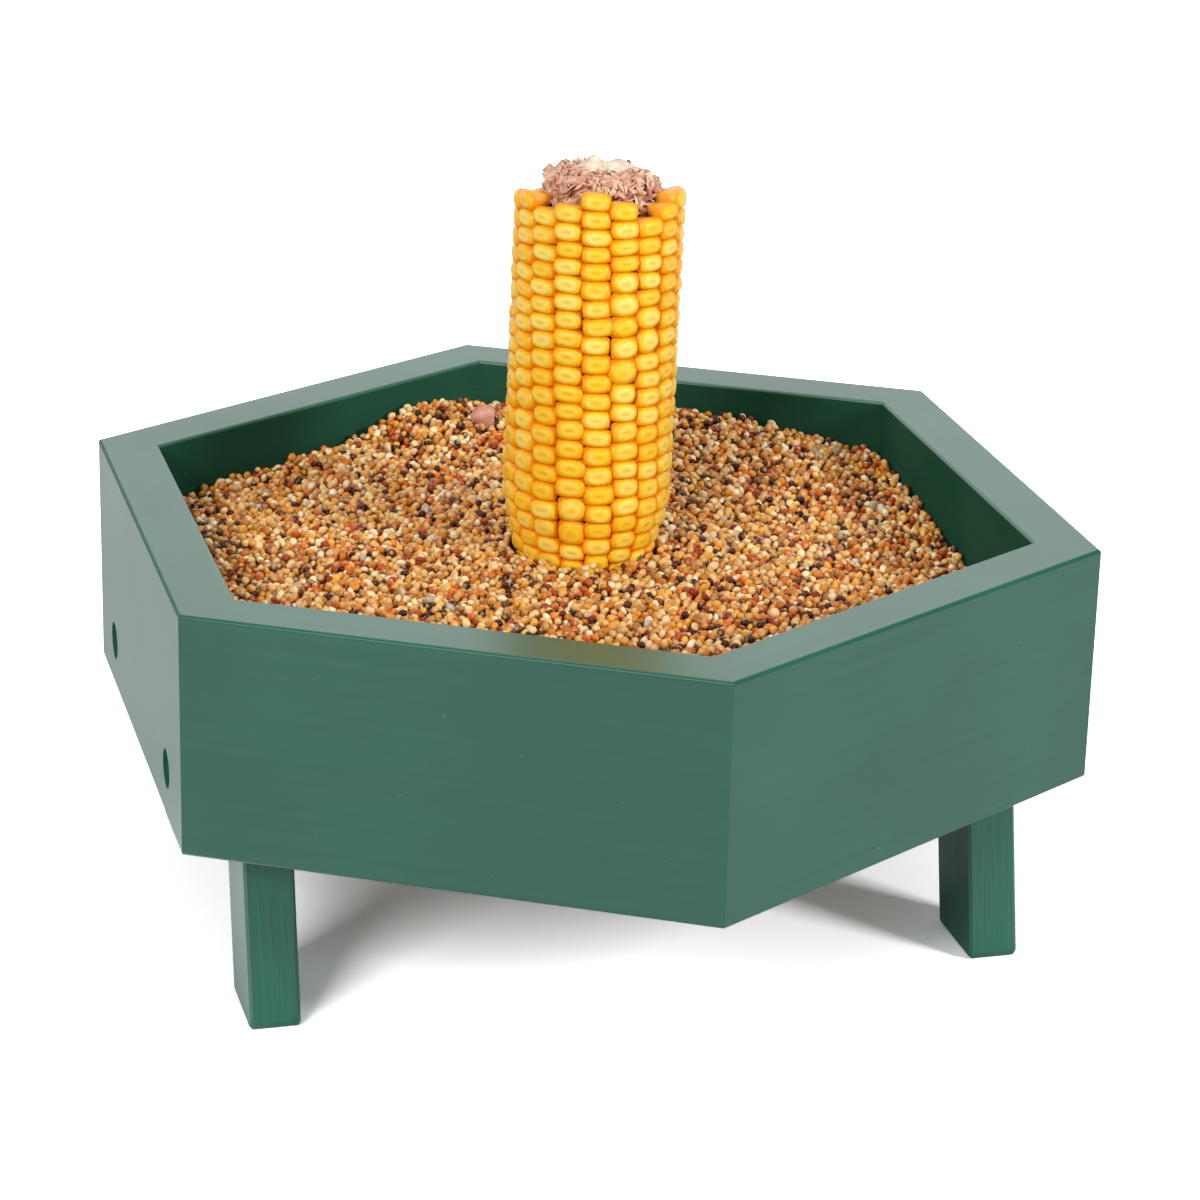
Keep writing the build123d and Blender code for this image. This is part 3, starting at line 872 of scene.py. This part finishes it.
# Pith: a low dome with two swellings and a wavy rim
pith = dict(
    radius=10.4,
    foot=142.0,
    footShare=0.96,
    rim=145.6,
    rise=0.7,
    uneven=0.13,
    columns=36,
    rings=9,
    innermost=0.12,
    shift=(1.4, -0.4),
    waves=((0.07, 3, 0.7), (0.05, 7, 0.0), (0.03, 11, 2.0)),  # size, how many round the rim, start
    swellings=((4.2, -4.7, 0.3, 2.6), (2.9, 4.8, -0.4, 3.0)),  # height, place, spread
)


# Height of the pith: a dome that falls with the square of the distance, plus the swellings
def pithHeight(x, y):
    dome = pith["rim"] + pith["rise"] * (1 - (np.hypot(x, y) / pith["radius"]) ** 2)
    return withBells(dome, x, y, pith["swellings"])


# Rings from the rim inwards, the radius swollen by waves, on a foot drawn in a little
def pithPiece():
    angle = fullTurn(pith["columns"])
    share = np.linspace(1.0, pith["innermost"], pith["rings"])[:, None]
    wave = np.ones(angle.shape)
    for size, count, start in pith["waves"]:
        wave = wave + size * np.sin(count * angle + start)
    rings = roundAxis(angle, pith["radius"] * share * wave, pith["foot"])
    foot = rings[:1] * (pith["footShare"], pith["footShare"], 1)
    uneven = dice.normal(0, pith["uneven"], rings.shape[:2])
    rings[..., 2] = pithHeight(rings[..., 0], rings[..., 1]) + uneven
    top = (0, 0, float(pithHeight(0.0, 0.0)))
    points, quads, triangles = skin(np.concatenate([foot, rings]), (0, 0, pith["foot"]), top)
    return onCob(points + (*pith["shift"], 0)), quads, triangles


pithFinish = cobFinish("cob pith", (0.60, 0.46, 0.31), (0.83, 0.73, 0.58), 420.0)
addPiece("corn_pith", pithPiece(), pithFinish, "corn")

# Dark dry bits caught round the pith
bits = dict(count=18, reach=(8.6, 11.2), height=(144.9, 146.2), size=(0.7, 1.5), shape=(1.6, 1.0, 0.5))


# Small balls, flattened, at even chances of angle, distance and height
def darkBits():
    count = bits["count"]
    angle = dice.uniform(0, 2 * np.pi, count)
    reach = dice.uniform(*bits["reach"], count)
    places = roundAxis(angle, reach, dice.uniform(*bits["height"], count))
    lengths = dice.uniform(*bits["size"], (count, 3)) * np.array(bits["shape"])
    axes = randomTurns(count) * lengths[:, :, None]
    return spread(ball(rings=3, columns=6), axes, onCob(places))


addPiece("corn_dry_bits", darkBits(), cobFinish("dry bits", (0.05, 0.03, 0.02), (0.22, 0.15, 0.10)),
         "corn")

# A loose lump of cob on the seed behind the corn
crumb = dict(
    place=(-6.3, 124.5),
    size=(4.9, 4.2, 4.1),
    waves=((0.09, (3, 2, 0), 1), (0.08, (-2, 0, 4), 0)),  # size, how fast along each axis, start
    uneven=0.03,
    seed=1.2,  # height of the loose seeds, into which it sinks
    sink=1.3,
)


# A ball whose radius is one, plus waves and a little noise, times its size
def crumbPiece():
    points, quads, triangles = ball(rings=9, columns=14)
    x, y, z = points.T
    swell = np.ones(len(x))
    for size, (byX, byY, byZ), start in crumb["waves"]:
        swell = swell + size * np.sin(byX * x + byY * y + byZ * z + start)
    swell = swell + dice.normal(0, crumb["uneven"], len(x))
    across, along = crumb["place"]
    height = float(seedHeight(across, along)) + crumb["size"][2] + crumb["seed"] - crumb["sink"]
    return points * swell[:, None] * np.array(crumb["size"]) + (across, along, height), quads, triangles


addPiece("cob_crumb", crumbPiece(), cobFinish("cob crumb", (0.50, 0.20, 0.14), (0.72, 0.40, 0.31), 240.0),
         "tray")
print("corn built")

# Welded wire floor: two families of straight wires, one on the other, round a flat hub
wires = dict(
    pitch=3.8,
    radius=0.3,
    sides=6,
    edge=135.0,
    shortest=2.0,
    hub=11.0,
    hubBorder=3.0,
    hubSides=48,
    gap=0.01,
)


# Each wire is cut to the hexagon's half-chord at its offset, less the half-chord of the hub
def wireFloorShape():
    steps = int(wires["edge"] / wires["pitch"] * 1.2)  # a hexagon's corner is 1.15 times its flat
    offsets = np.arange(-steps, steps + 1) * wires["pitch"]
    radius, edge, hub = wires["radius"], wires["edge"], wires["hub"]
    cosine, sine = math.cos(math.pi / 6), 0.5
    runs = []
    for lengthwise in (False, True):
        if lengthwise:  # wires along Y, at x
            half = (edge - np.abs(offsets) * sine) / cosine
            half = np.where(np.abs(offsets) < edge, half, 0)
        else:  # wires along X, at y
            half = np.minimum(edge, (edge - np.abs(offsets) * cosine) / sine)
        gap = np.sqrt(np.clip(hub**2 - offsets**2, 0, None))
        for offset, reach, inner in zip(offsets, half, gap):
            if reach > inner + wires["shortest"]:
                spans = [(-reach, -inner), (inner, reach)] if inner > 0 else [(-reach, reach)]
                runs += [(lengthwise, offset, *span) for span in spans]
    turn, offset, low, high = np.array(runs, float).T
    middle, length = (low + high) / 2, high - low
    height = tray["cleatTop"] + radius * np.where(turn > 0, 3, 1)
    x, y = np.where(turn > 0, [offset, middle], [middle, offset])
    centres = np.stack([x, y, height], -1)
    onY = turn[:, None] > 0
    ahead = np.where(onY, [0, 1.0, 0], [1.0, 0, 0])
    aside = np.where(onY, [-1.0, 0, 0], [0, 1.0, 0])
    upright = np.full(ahead.shape, [0, 0, 1.0])
    # the unit wire stands on Z, so its axes are aside, upright and ahead
    axes = np.stack([aside * radius, upright * radius, ahead * length[:, None]], 1)
    wire = skin(turned([(1, -0.5), (1, 0.5)], wires["sides"]), (0, 0, -0.5), (0, 0, 0.5))
    outer = hub + wires["hubBorder"]
    bottom, top = tray["cleatTop"] + wires["gap"], tray["meshTop"] - wires["gap"]
    collar = turned([(hub, top), (hub, bottom), (outer, bottom), (outer, top)], wires["hubSides"])
    return together([spread(wire, axes, centres), looped(collar)])


addPiece("wire_floor", wireFloorShape(), meshSteel, "tray", ("floor_mesh",), sharp=50)

# Threaded spike: a rod whose radius dips with the screw's turn, then a plain point
spike = dict(
    radius=3.0,
    low=84.0,
    shoulder=172.5,
    tip=(0.35, 186.5),  # radius and height
    pitch=1.0,
    thread=0.5,
    runOut=1.5,
    columns=18,
    perTurn=5,
)


# The thread's depth is a zigzag of the height less the angle's share of a turn, and runs out at both ends
def spikePiece():
    height = np.arange(spike["low"], spike["shoulder"], spike["pitch"] / spike["perTurn"])[:, None]
    angle = fullTurn(spike["columns"])
    phase = (height / spike["pitch"] - angle / (2 * np.pi)) % 1.0
    ends = np.clip(np.minimum(height - spike["low"], spike["shoulder"] - height) / spike["runOut"], 0, 1)
    radius = spike["radius"] - spike["thread"] * np.abs(2 * phase - 1) * ends
    rod = roundAxis(angle, radius, height)
    point = turned([(spike["radius"], spike["shoulder"]), spike["tip"]], spike["columns"])
    return skin(np.concatenate([rod, point]), (0, 0, spike["low"]), (0, 0, spike["tip"][1]))


addPiece("threaded_spike", spikePiece(), zincSteel, "tray", ("corn_spike",), sharp=60)

# Hardware: washers with eased edges, chamfered nuts, countersunk screws
washers = dict(edge=0.25, columns=40)
nut = dict(
    columns=48,
    chamfer=0.55,
    faceIn=0.1,  # of the end's round face from the flats
    uncut=99.0,
    collarIn=(0.7, 1.3),  # of the collar's side and top from the flats
    collarFrom=0.05,
    collarEdge=0.5,
)
screw = dict(
    radius=3.1,
    rings=(3.1, 2.3, 1.8, 1.35, 0.9, 0.5),
    cone=((1.2, -2.0), (3.1, -0.25)),  # radius and height
    dome=0.35,
    recess=0.85,
    lobe=(0.5, 1.7),  # reach of the recess between and along its four arms
    slope=0.35,
    columns=24,
)
# Outer radius, or distance over the flats, and thickness
legPivot = dict(across=(117.435, 134.435), along=58.906, height=82.5, play=0.05, bore=3.02,
                spacer=(8.0, 1.4), washer=(7.5, 1.2), nut=(10.0, 6.0), collar=2.2)
spikeFoot = dict(bore=3.02, washer=(9.0, 1.5), nut=(10.0, 5.0))


# Washer: an oblong profile with cut corners, carried round
def washerShape(outer, thickness, bore):
    edge = washers["edge"]
    profile = [(bore, thickness), (bore, 0), (outer - edge, 0), (outer, edge), (outer, thickness - edge),
               (outer - edge, thickness)]
    return looped(turned(profile, washers["columns"]))


# Nut: the hexagon's radius at each angle, cut back near the ends by a cone; a collar may stand on its top
def nutShape(flats, height, bore, collar=0.0):
    angle = fullTurn(nut["columns"])
    hexagon = hexagonEdge(angle, flats / 2)
    body, face, chamfer = height - collar, flats / 2 - nut["faceIn"], nut["chamfer"]
    levels = [(0.0, face), (chamfer, nut["uncut"]), (body - chamfer, nut["uncut"]), (body, face)]
    if collar:
        side, top = [flats / 2 - inward for inward in nut["collarIn"]]
        edge = height - nut["collarEdge"]
        levels += [(body + nut["collarFrom"], side), (edge, side), (height, top)]
    outside = [(np.minimum(hexagon, reach), level) for level, reach in levels]
    loop = [(bore, height), (bore, 0.0)] + outside
    return looped(np.array([roundAxis(angle, reach, level) for reach, level in loop]))


# Screw head: a low dome with a four-lobed recess pressed into it, standing on its cone
def screwShape():
    angle = fullTurn(screw["columns"])
    between, arm = screw["lobe"]
    lobe = between + (arm - between) * np.abs(np.cos(2 * angle)) ** 4
    reach = np.array(screw["rings"])[:, None]
    dome = screw["dome"] * (1 - (reach / screw["radius"]) ** 2)
    pressed = np.clip((lobe - reach) / screw["slope"] + 0.5, 0, 1) * screw["recess"]
    head = roundAxis(angle, reach, dome - pressed)
    cone = turned(screw["cone"], screw["columns"])
    middle = screw["dome"] - screw["recess"]
    return skin(np.concatenate([cone, head]), (0, 0, screw["cone"][0][1]), (0, 0, middle))


# Copies of a shape on each leg bolt, its axis turned outwards along X; start is its distance from the middle
def onLegBolts(shape, start, inward=False):
    axes, places = [], []
    for side in (-1.0, 1.0):
        out = -side if inward else side
        for end in (-1.0, 1.0):
            axes.append([[0, 1, 0], [0, 0, out], [out, 0, 0]])
            places.append([side * start, end * legPivot["along"], legPivot["height"]])
    return spread(shape, np.array(axes), np.array(places))


# Copies standing on the spike bar and hanging under it, each at a distance from the bar
def onSpike(shape, away):
    axes = np.array([np.diag([1.0, 1.0, 1.0]), np.diag([1.0, -1.0, -1.0])])
    return spread(shape, axes, np.array([[0, 0, tray["cleatTop"] + away], [0, 0, tray["barBottom"] - away]]))


inner, outer = legPivot["across"]
washerFace = inner - legPivot["play"]
legSpacer = washerShape(*legPivot["spacer"], legPivot["bore"])
legWasher = washerShape(*legPivot["washer"], legPivot["bore"])
legNut = nutShape(*legPivot["nut"], legPivot["bore"], legPivot["collar"])
spikeWasher = washerShape(*spikeFoot["washer"], spikeFoot["bore"])
spikeNut = nutShape(*spikeFoot["nut"], spikeFoot["bore"])
hardware = {
    "leg_spacer_rings": (onLegBolts(legSpacer, outer + legPivot["play"]), "leg_spacers"),
    "leg_washer_rings": (onLegBolts(legWasher, washerFace, True), "leg_washers"),
    "leg_nuts": (onLegBolts(legNut, washerFace - legPivot["washer"][1], True), "leg_lock_nuts"),
    "spike_washer_rings": (onSpike(spikeWasher, 0.0), "spike_washers"),
    "spike_hex_nuts": (onSpike(spikeNut, spikeFoot["washer"][1]), "spike_nuts"),
}
for name, (shape, node) in hardware.items():
    addPiece(name, shape, zincSteel, "tray", (node,), sharp=35)

# Two screws through each cleat into its wall, and two up through each end of the spike bar
screwPlaces = dict(cleatSpan=45.0, barHeading=60, barReach=129.885, barSpan=11.0)


# Each screw stands on its face: out of the cleat towards the middle, or down from the bar
def screwsPiece():
    axes, centres = [], []
    up = np.array([0, 0, 1.0])

    # Two screws, a span to either side of a heading
    def screwPair(heading, reach, span, height, downwards):
        out = np.array([math.cos(heading), math.sin(heading), 0])
        side = np.array([-math.sin(heading), math.cos(heading), 0])
        for along in (-span, span):
            axes.append([side, out, -up] if downwards else [up, side, -out])
            centres.append(out * reach + side * along + up * height)

    for heading in np.radians(tray["headings"]):
        reach = tray["innerFlat"] - tray["cleatWidth"]
        screwPair(heading, reach, screwPlaces["cleatSpan"], tray["cleatMiddle"], False)
    for turn in (0, 180):
        heading = math.radians(screwPlaces["barHeading"] + turn)
        screwPair(heading, screwPlaces["barReach"], screwPlaces["barSpan"], tray["barBottom"], True)
    return spread(screwShape(), np.array(axes), np.array(centres))


addPiece("cleat_and_bar_screws", screwsPiece(), zincSteel, "tray", sharp=40)
print("hardware fitted")

# Pale floor: white to the eye, softer for the light it throws back, and paler at the back in reflections
floorLook = dict(
    reach=4.0,
    seen=((0.5, 2.2), (1.0, 3.6)),  # distance from the middle and how white, as the light is weaker far out
    mirrored=((0.0, 0.80), (0.2, 1.22)),  # place along Y and how white
    strip=1.85,  # whiteness to reflections of a strip at the left, fading in and out by X and Y
    stripAcross=(-0.125, -0.145),
    stripFront=(-0.16, -0.11),
    stripBack=(0.12, 0.03),
    given=0.42,
)


# A grey as red, green, blue and alpha
def plainGrey(level):
    return (level, level, level, 1.0)


# A white chosen by the kind of ray: for light given, for what mirrors and clear bodies show, for the eye
def byRay(tree, given, mirrored, seen):
    paths = newNode(tree, "LightPath", {})
    sentOn = combined(tree, "MAXIMUM", [paths["Is Glossy Ray"], paths["Is Transmission Ray"]])
    return mixOf(tree, paths["Is Camera Ray"], mixOf(tree, sentOn, given, mirrored), seen)


# A matt plane that can't be seen from below, its white chosen by the kind of ray
def floorPlane():
    finish = bpy.data.materials.new("pale floor")
    finish.use_nodes = True
    tree = finish.node_tree
    tree.nodes.clear()
    place = placed(tree)
    across, along = partOf(tree, place, "X"), partOf(tree, place, "Y")
    distance = newNode(tree, "VectorMath", {0: place}, operation="LENGTH")["Value"]
    mirrored = greys(tree, along, floorLook["mirrored"])
    edges = [(across, "stripAcross"), (along, "stripFront"), (along, "stripBack")]
    strip = combined(tree, "MULTIPLY", [stepBetween(tree, value, *floorLook[edge]) for value, edge in edges])
    mirrored = mixOf(tree, strip, mirrored, plainGrey(floorLook["strip"]))
    seen = greys(tree, distance, floorLook["seen"])
    colour = byRay(tree, plainGrey(floorLook["given"]), mirrored, seen)
    matt = newNode(tree, "BsdfDiffuse", {"Color": colour})[0]
    clear = newNode(tree, "BsdfTransparent", {})[0]
    fromBelow = newNode(tree, "NewGeometry", {})["Backfacing"]
    both = newNode(tree, "MixShader", {0: fromBelow, 1: matt, 2: clear})[0]
    newNode(tree, "OutputMaterial", {"Surface": both})
    reach = floorLook["reach"]
    mesh = bpy.data.meshes.new("floor")
    corners = [(-reach, -reach, 0), (reach, -reach, 0), (reach, reach, 0), (-reach, reach, 0)]
    mesh.from_pydata(corners, [], [(0, 1, 2, 3)])
    mesh.materials.append(finish)
    floor = newObject("floor", mesh)


floorPlane()

# White room: full white to the eye, whitest at the back to reflections, softer for the light it gives
roomLook = dict(seen=1.0, mirrored=((0.0, 0.5), (0.8, 1.42)), given=0.31)


# The room's white is chosen by the kind of ray, and in reflections by the way they go along Y
def whiteRoom():
    world = bpy.data.worlds.new("white room")
    bpy.context.scene.world = world
    world.use_nodes = True
    tree = world.node_tree
    background = tree.nodes["Background"]
    way = newNode(tree, "TexCoord", {})["Generated"]
    mirrored = greys(tree, partOf(tree, way, "Y"), roomLook["mirrored"])
    colour = byRay(tree, plainGrey(roomLook["given"]), mirrored, plainGrey(roomLook["seen"]))
    feed(tree, background, Color=colour)


whiteRoom()


# Puts an object at a place, with its own three axes
def setAxes(thing, axes, place):
    rows = [[*row, offset] for row, offset in zip(np.stack(axes, -1), place)]
    thing.matrix_world = Matrix(rows + [[0, 0, 0, 1]])


# Soft lamps: place, what it looks at, width, power
lamps = {
    "left lamp": dict(place=(-1.283, -1.425, 1.127), aim=(0, 0, 0.05), width=0.8, power=28.0),
    "right lamp": dict(place=(1.446, -1.386, 0.959), aim=(0, 0, 0.05), width=0.5, power=27.0),
    "top lamp": dict(place=(0, 0.2, 2.2), aim=(0, 0, 0.1), width=1.0, power=13.0),
}
for name, look in lamps.items():
    light = bpy.data.lights.new(name, "AREA")
    light.size = look["width"]
    light.energy = look["power"]
    away = np.array(look["place"]) - np.array(look["aim"])
    back = away / np.linalg.norm(away)
    right = np.cross((0, 0, 1.0), back)
    right = right / np.linalg.norm(right)
    setAxes(newObject(name, light), [right, np.cross(back, right), back], look["place"])
print("room lit")

# Camera: place, its right hand and the way it looks
eye = dict(place=(-0.32596, -1.20364, 0.57926), right=(0.96592, -0.25774, 0.02368),
           ahead=(0.24926, 0.90169, -0.35329), lens=114.17, sensor=36.0, clip=(0.01, 50.0))


# The camera's up is the cross product of its back and its right hand
def placeCamera():
    data = bpy.data.cameras.new("camera")
    data.lens = eye["lens"]
    data.sensor_width = eye["sensor"]
    data.clip_start, data.clip_end = eye["clip"]
    camera = newObject("camera", data)
    right, back = np.array(eye["right"]), -np.array(eye["ahead"])
    setAxes(camera, [right, np.cross(back, right), back], eye["place"])
    bpy.context.scene.camera = camera


placeCamera()
bpy.context.scene.view_settings.view_transform = "Standard"
